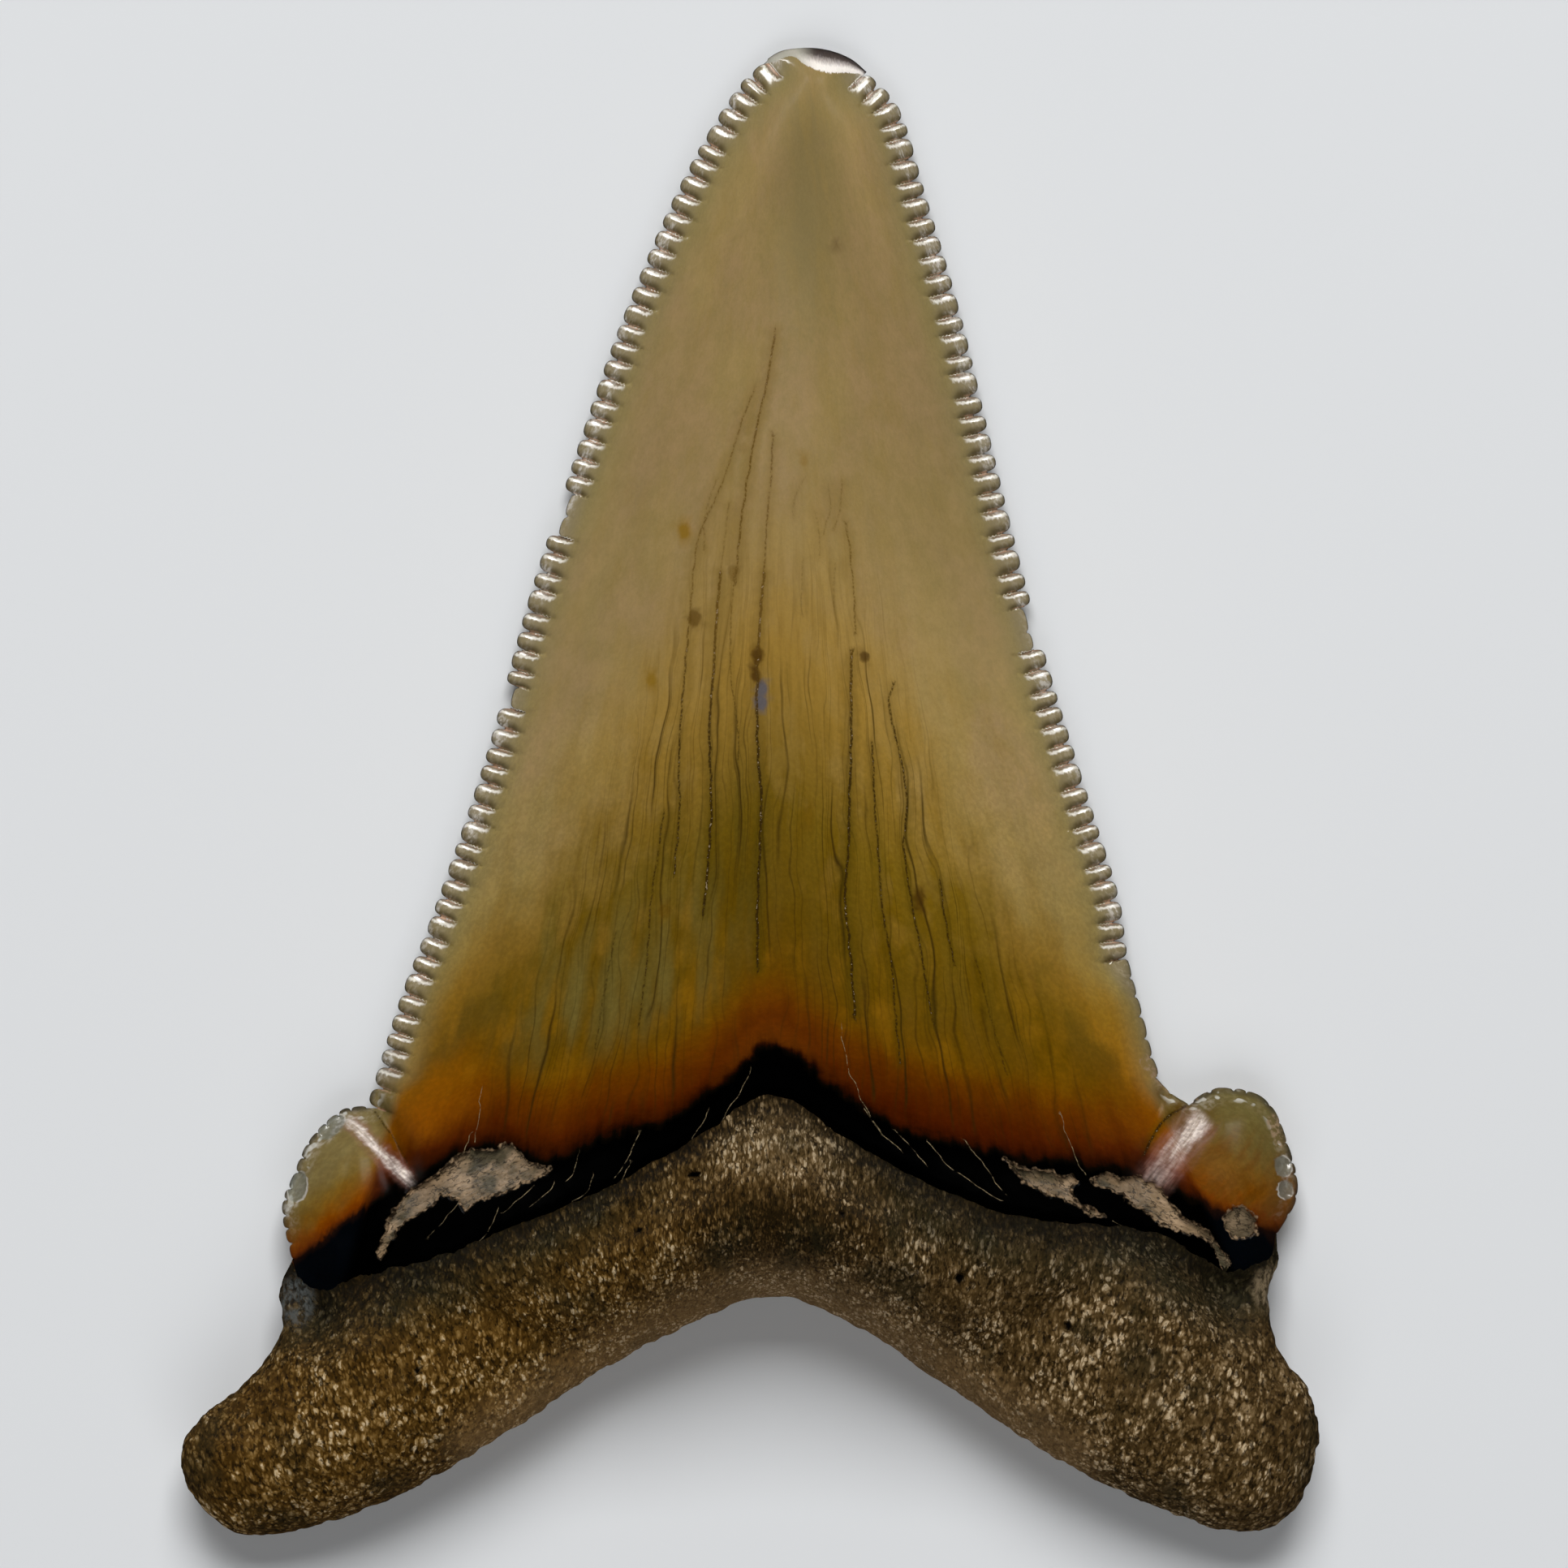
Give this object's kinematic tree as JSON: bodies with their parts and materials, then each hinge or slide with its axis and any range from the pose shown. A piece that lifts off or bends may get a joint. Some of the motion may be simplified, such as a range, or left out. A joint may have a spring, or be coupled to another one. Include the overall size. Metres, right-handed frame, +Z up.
{
  "type": "fossil shark tooth",
  "caption": "Broad fossil shark tooth with serrated edges, a small serrated cusplet at each side and a two-lobed root, lying on its flat face as a display specimen.",
  "frame": {"origin": "under the middle of the tooth, on the surface that its flat labial face lies on", "axes": "+Y towards the tip of the crown, +Z up out of the lingual face, +X to the right as the lingual face is seen with the tip up"},
  "size_m": [0.0538, 0.0706, 0.0141],
  "materials": {
    "tooth": "glossy olive and amber-brown enamel crown, near-black band and rough dark brown root"
  },
  "bodies": {
    "root": {"tooth": "tooth"}
  },
  "joints": []
}
